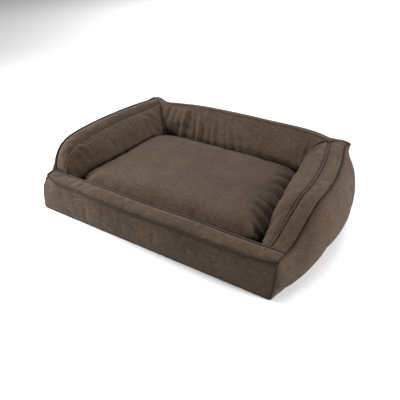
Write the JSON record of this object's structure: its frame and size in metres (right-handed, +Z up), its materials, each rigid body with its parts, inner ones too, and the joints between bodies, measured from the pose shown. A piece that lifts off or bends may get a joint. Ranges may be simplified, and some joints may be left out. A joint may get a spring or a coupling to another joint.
{
  "type": "pet cushion bed",
  "caption": "Sofa-style cushion bed for a pet: a low front rail, two padded arms and a padded back round a loose seat cushion, with zips in the cover and the cushion.",
  "frame": {"origin": "on the floor under the middle of the bed, at the bottom centre of its bounding box", "axes": "+X to the right as seen from the front, +Y to the back, +Z up; the low front rail faces -Y"},
  "size_m": [1.0674, 0.7035, 0.2542],
  "materials": {
    "cover_cloth": "matt brown heathered upholstery cloth",
    "cushion_cloth": "matt brown heathered upholstery cloth",
    "welt_cloth": "matt brown folded welt of the same cloth",
    "base_cloth": "dark coarse non-slip cloth",
    "fibre_fill": "white polyester fibre",
    "foam": "pale yellow open-cell foam",
    "zip_tape": "brown woven tape",
    "zip_chain": "brown nylon coil",
    "zip_metal": "brown enamelled zinc",
    "label": "white satin ribbon, blank"
  },
  "bodies": {
    "cover": {"bottom_panel": "base_cloth", "base_foam": "foam", "deck_panel": "cover_cloth", "right_bolster_fill": "fibre_fill", "left_bolster_fill": "fibre_fill", "back_bolster_fill": "fibre_fill", "front_rail_foam": "foam", "right_side_panel": "cover_cloth", "left_side_panel": "cover_cloth", "front_panel": "cover_cloth", "back_panel_lower": "cover_cloth", "back_panel_upper": "cover_cloth", "right_arm_band": "cover_cloth", "left_arm_band": "cover_cloth", "back_band": "cover_cloth", "front_rail_band": "cover_cloth", "right_inner_panel": "cover_cloth", "left_inner_panel": "cover_cloth", "back_inner_panel": "cover_cloth", "front_rail_inner_panel": "cover_cloth", "right_inner_welt": "welt_cloth", "left_inner_welt": "welt_cloth", "back_inner_welt": "welt_cloth", "rail_inner_welt": "welt_cloth", "right_outer_welt": "welt_cloth", "left_outer_welt": "welt_cloth", "back_outer_welt": "welt_cloth", "rail_outer_welt": "welt_cloth", "care_label": "label", "cover_zip_tape_upper": "zip_tape", "cover_zip_tape_lower": "zip_tape", "cover_zip_chain": "zip_chain", "cover_zip_stop_left": "zip_metal", "cover_zip_stop_right": "zip_metal"},
    "seat_cushion": {"seat_cushion_top_panel": "cushion_cloth", "seat_cushion_bottom_panel": "cushion_cloth", "seat_cushion_fill": "fibre_fill", "cushion_zip_tape_upper": "zip_tape", "cushion_zip_tape_lower": "zip_tape", "cushion_zip_chain": "zip_chain", "cushion_zip_stop_left": "zip_metal", "cushion_zip_stop_right": "zip_metal"},
    "cover_zip_slider": {"cover_zip_slider": "zip_metal"},
    "cover_zip_pull": {"cover_zip_pull": "zip_metal"},
    "cushion_zip_slider": {"cushion_zip_slider": "zip_metal"},
    "cushion_zip_pull": {"cushion_zip_pull": "zip_metal"}
  },
  "joints": [
    {"name": "seat_cushion_lift", "type": "slide", "parent": "cover", "child": "seat_cushion", "axis": [0, 0, 1], "range_m": [0, 0.25]},
    {"name": "cover_zip_slide", "type": "slide", "parent": "cover", "child": "cover_zip_slider", "axis": [1, 0, 0], "range_m": [0, 0.636]},
    {"name": "cover_zip_pull_swing", "type": "hinge", "parent": "cover_zip_slider", "child": "cover_zip_pull", "pos_m": [-0.318, 0.33955, 0.038], "axis": [0, 0, 1], "range_deg": [0, 160]},
    {"name": "cushion_zip_slide", "type": "slide", "parent": "seat_cushion", "child": "cushion_zip_slider", "axis": [1, 0, 0], "range_m": [0, 0.356]},
    {"name": "cushion_zip_pull_swing", "type": "hinge", "parent": "cushion_zip_slider", "child": "cushion_zip_pull", "pos_m": [-0.178, 0.21855, 0.098], "axis": [0, 0, 1], "range_deg": [0, 12]}
  ]
}
